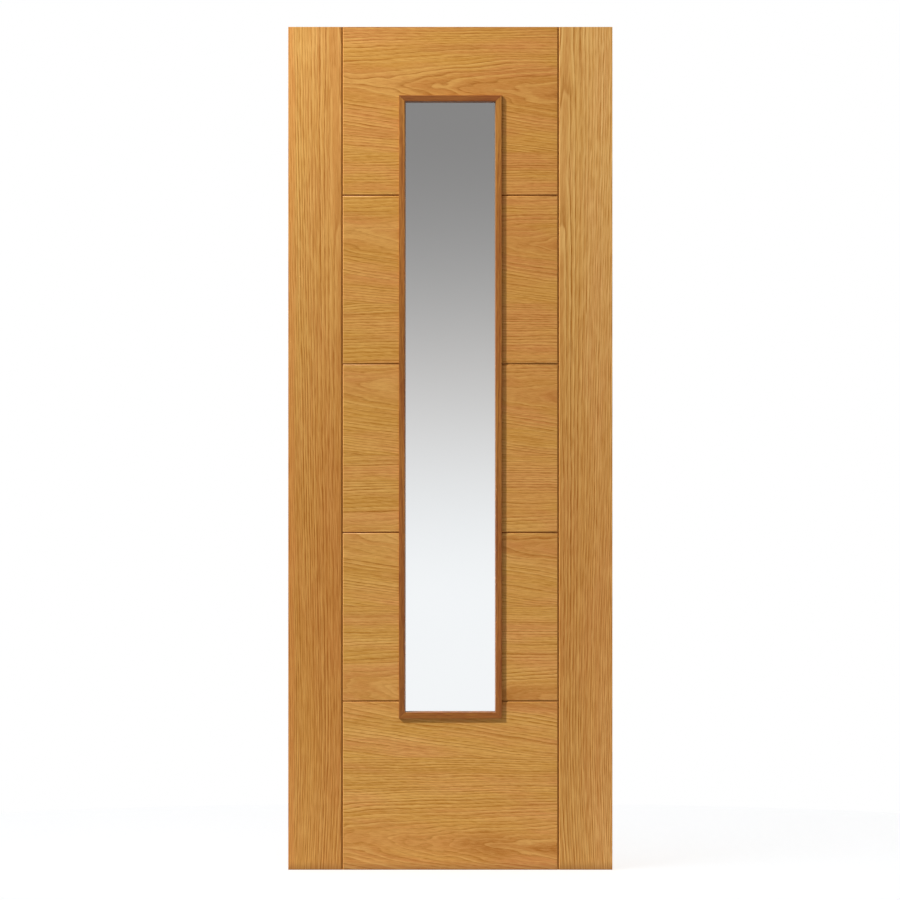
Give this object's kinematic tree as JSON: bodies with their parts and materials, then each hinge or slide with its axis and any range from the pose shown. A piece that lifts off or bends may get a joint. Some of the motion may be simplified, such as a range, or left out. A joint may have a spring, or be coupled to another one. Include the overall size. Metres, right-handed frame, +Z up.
{
  "type": "glazed internal door leaf",
  "caption": "Internal oak-veneered door leaf with level-grain blocks between upright stiles, V-grooved joints and a tall narrow clear pane in mitred beads.",
  "frame": {"origin": "on the face of the hinge edge, at the foot of the leaf and half-way through its thickness", "axes": "+X across the leaf from the hinge edge to the latch edge, front face towards -Y, +Z up"},
  "size_m": [0.762, 0.049, 1.981],
  "materials": {
    "upright_oak_veneer": "satin lacquered oak veneer, grain upright",
    "level_oak_veneer": "satin lacquered oak veneer, grain level",
    "oak_lipping": "satin lacquered solid oak",
    "stile_core": "sawn laminated softwood, grain upright",
    "rail_core": "sawn laminated softwood, grain level",
    "bead_hardwood": "stained and lacquered hardwood moulding",
    "clear_glass": "clear toughened float glass",
    "glazing_tape": "closed-cell foam tape",
    "setting_block": "moulded glazing packer"
  },
  "bodies": {
    "root": {"left_stile_core": "stile_core", "left_edge_lipping": "oak_lipping", "left_stile_front_skin": "upright_oak_veneer", "left_stile_rear_skin": "upright_oak_veneer", "right_stile_core": "stile_core", "right_edge_lipping": "oak_lipping", "right_stile_front_skin": "upright_oak_veneer", "right_stile_rear_skin": "upright_oak_veneer", "bottom_rail_core": "rail_core", "bottom_rail_front_skin": "level_oak_veneer", "bottom_rail_rear_skin": "level_oak_veneer", "top_rail_core": "rail_core", "top_rail_front_skin": "level_oak_veneer", "top_rail_rear_skin": "level_oak_veneer", "lower_panel_left_core": "rail_core", "lower_panel_left_front_skin": "level_oak_veneer", "lower_panel_left_rear_skin": "level_oak_veneer", "lower_panel_right_core": "rail_core", "lower_panel_right_front_skin": "level_oak_veneer", "lower_panel_right_rear_skin": "level_oak_veneer", "middle_panel_left_core": "rail_core", "middle_panel_left_front_skin": "level_oak_veneer", "middle_panel_left_rear_skin": "level_oak_veneer", "middle_panel_right_core": "rail_core", "middle_panel_right_front_skin": "level_oak_veneer", "middle_panel_right_rear_skin": "level_oak_veneer", "upper_panel_left_core": "rail_core", "upper_panel_left_front_skin": "level_oak_veneer", "upper_panel_left_rear_skin": "level_oak_veneer", "upper_panel_right_core": "rail_core", "upper_panel_right_front_skin": "level_oak_veneer", "upper_panel_right_rear_skin": "level_oak_veneer", "glass_pane": "clear_glass", "front_glazing_tape": "glazing_tape", "rear_glazing_tape": "glazing_tape", "setting_blocks": "setting_block", "front_bead_left": "bead_hardwood", "front_bead_right": "bead_hardwood", "front_bead_bottom": "bead_hardwood", "front_bead_top": "bead_hardwood", "rear_bead_left": "bead_hardwood", "rear_bead_right": "bead_hardwood", "rear_bead_bottom": "bead_hardwood", "rear_bead_top": "bead_hardwood"}
  },
  "joints": []
}
